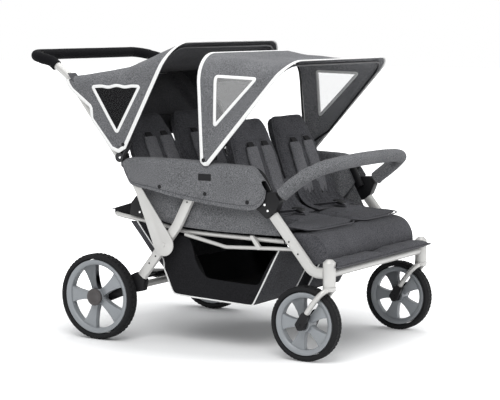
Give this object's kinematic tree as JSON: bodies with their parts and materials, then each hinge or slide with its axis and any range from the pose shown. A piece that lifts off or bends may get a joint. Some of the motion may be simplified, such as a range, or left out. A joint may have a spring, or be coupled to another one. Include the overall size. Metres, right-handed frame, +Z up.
{
  "type": "stroller",
  "caption": "Multi-seat folding stroller with two rows of seats, grey canopies, padded bumper, basket, swivelling front wheels and push handle.",
  "frame": {"origin": "on the floor, under the middle of the stroller's overall box", "axes": "+X to the front, +Y to the stroller's left, +Z up"},
  "size_m": [1.2712, 0.804, 1.032],
  "materials": {
    "aluminium": "satin",
    "steel": "dark satin paint",
    "plastic": "matt black",
    "foam": "matt black foam",
    "rim": "silver-grey moulded",
    "cap": "dark grey",
    "tyre": "black rubber",
    "melange": "mid-grey melange weave",
    "seat": "charcoal weave",
    "basket": "near-black weave",
    "black_cloth": "black weave"
  },
  "bodies": {
    "chassis": {"front_leg_left": "aluminium", "front_leg_right": "aluminium", "head_tube_left": "aluminium", "head_tube_right": "aluminium", "armrest_rail_left": "aluminium", "armrest_rail_right": "aluminium", "lower_rail_left": "aluminium", "lower_rail_right": "aluminium", "connector_left": "plastic", "connector_right": "plastic", "frame_bracket_left": "plastic", "frame_bracket_right": "plastic", "side_panel_left": "melange", "side_panel_right": "melange", "front_seat_left": "seat", "front_seat_right": "seat", "rear_seat_left": "seat", "rear_seat_right": "seat", "front_cross_tube": "aluminium", "seat_frame": "aluminium", "seat_sling": "black_cloth", "calf_panel": "seat", "foot_shelf": "seat", "basket": "basket", "front_canopy_rear_bow": "steel", "front_canopy_cover": "melange"},
    "rear_frame": {"rear_leg_left": "aluminium", "rear_leg_right": "aluminium", "axle_bracket_left": "plastic", "axle_bracket_right": "plastic", "rear_cross_tube": "aluminium"},
    "fold_links": {"fold_link_left": "aluminium", "fold_link_right": "aluminium"},
    "handle": {"handle_tube": "aluminium", "handle_grip": "foam", "rear_canopy_cover": "melange"},
    "rear_bow": {"rear_canopy_bow": "steel"},
    "front_bow": {"front_canopy_bow": "steel"},
    "bumper": {"bumper_tube": "plastic", "bumper_pad": "melange"},
    "brake": {"brake_shaft": "steel", "brake_pedal": "plastic"},
    "rear_wheel_left": {"rear_rim_left": "rim", "rear_tyre_left": "tyre", "rear_hub_cap_left": "cap"},
    "castor_left": {"castor_fork_left": "aluminium", "front_axle_left": "plastic"},
    "front_wheel_left": {"front_rim_left": "rim", "front_tyre_left": "tyre"},
    "front_back_left": {"front_backrest_left": "seat"},
    "rear_back_left": {"rear_backrest_left": "seat"},
    "rear_wheel_right": {"rear_rim_right": "rim", "rear_tyre_right": "tyre", "rear_hub_cap_right": "cap"},
    "castor_right": {"castor_fork_right": "aluminium", "front_axle_right": "plastic"},
    "front_wheel_right": {"front_rim_right": "rim", "front_tyre_right": "tyre"},
    "front_back_right": {"front_backrest_right": "seat"},
    "rear_back_right": {"rear_backrest_right": "seat"}
  },
  "joints": [
    {"name": "frame_fold", "type": "hinge", "parent": "chassis", "child": "rear_frame", "pos_m": [0.11355, 0, 0.612], "axis": [0, 1, 0], "range_deg": [-40, 0]},
    {"name": "handle_fold", "type": "hinge", "parent": "chassis", "child": "handle", "pos_m": [-0.23045, 0, 0.636], "axis": [0, 1, 0], "range_deg": [-95, 0]},
    {"name": "fold_link_turn", "type": "hinge", "parent": "rear_frame", "child": "fold_links", "pos_m": [-0.04045, 0, 0.346], "axis": [0, 1, 0], "range_deg": [0, 21]},
    {"name": "brake_press", "type": "hinge", "parent": "rear_frame", "child": "brake", "pos_m": [-0.20245, 0, 0.206], "axis": [0, -1, 0], "range_deg": [0, 20]},
    {"name": "rear_canopy_fold", "type": "hinge", "parent": "handle", "child": "rear_bow", "pos_m": [-0.21645, 0, 0.637], "axis": [0, -1, 0], "range_deg": [0, 50], "deforming": ["rear_canopy_cover"]},
    {"name": "front_canopy_fold", "type": "hinge", "parent": "chassis", "child": "front_bow", "pos_m": [0.13155, 0, 0.65], "axis": [0, -1, 0], "range_deg": [0, 40], "deforming": ["front_canopy_cover"]},
    {"name": "bumper_pull", "type": "slide", "parent": "chassis", "child": "bumper", "axis": [0.7944, 0, 0.6074], "range_m": [0, 0.04]},
    {"name": "rear_wheel_spin_left", "type": "hinge", "parent": "rear_frame", "child": "rear_wheel_left", "pos_m": [-0.29845, 0.37, 0.15], "axis": [0, 1, 0], "continuous": true},
    {"name": "castor_swivel_left", "type": "hinge", "parent": "chassis", "child": "castor_left", "pos_m": [0.59655, 0.34, 0.2425], "axis": [0, 0, 1], "continuous": true},
    {"name": "front_wheel_spin_left", "type": "hinge", "parent": "castor_left", "child": "front_wheel_left", "pos_m": [0.51155, 0.34, 0.124], "axis": [0, 1, 0], "continuous": true},
    {"name": "front_recline_left", "type": "hinge", "parent": "chassis", "child": "front_back_left", "pos_m": [0.28655, 0.1455, 0.447], "axis": [0, -1, 0], "range_deg": [0, 20]},
    {"name": "rear_recline_left", "type": "hinge", "parent": "chassis", "child": "rear_back_left", "pos_m": [-0.12345, 0.1455, 0.492], "axis": [0, -1, 0], "range_deg": [0, 20]},
    {"name": "rear_wheel_spin_right", "type": "hinge", "parent": "rear_frame", "child": "rear_wheel_right", "pos_m": [-0.29845, -0.37, 0.15], "axis": [0, 1, 0], "continuous": true},
    {"name": "castor_swivel_right", "type": "hinge", "parent": "chassis", "child": "castor_right", "pos_m": [0.59655, -0.34, 0.2425], "axis": [0, 0, 1], "continuous": true},
    {"name": "front_wheel_spin_right", "type": "hinge", "parent": "castor_right", "child": "front_wheel_right", "pos_m": [0.51155, -0.34, 0.124], "axis": [0, 1, 0], "continuous": true},
    {"name": "front_recline_right", "type": "hinge", "parent": "chassis", "child": "front_back_right", "pos_m": [0.28655, -0.1455, 0.447], "axis": [0, -1, 0], "range_deg": [0, 20]},
    {"name": "rear_recline_right", "type": "hinge", "parent": "chassis", "child": "rear_back_right", "pos_m": [-0.12345, -0.1455, 0.492], "axis": [0, -1, 0], "range_deg": [0, 20]}
  ],
  "couplings": [
    {"joint": "handle_fold", "follows": "frame_fold", "ratio": 2.375},
    {"joint": "fold_link_turn", "follows": "frame_fold", "ratio": -0.525}
  ]
}
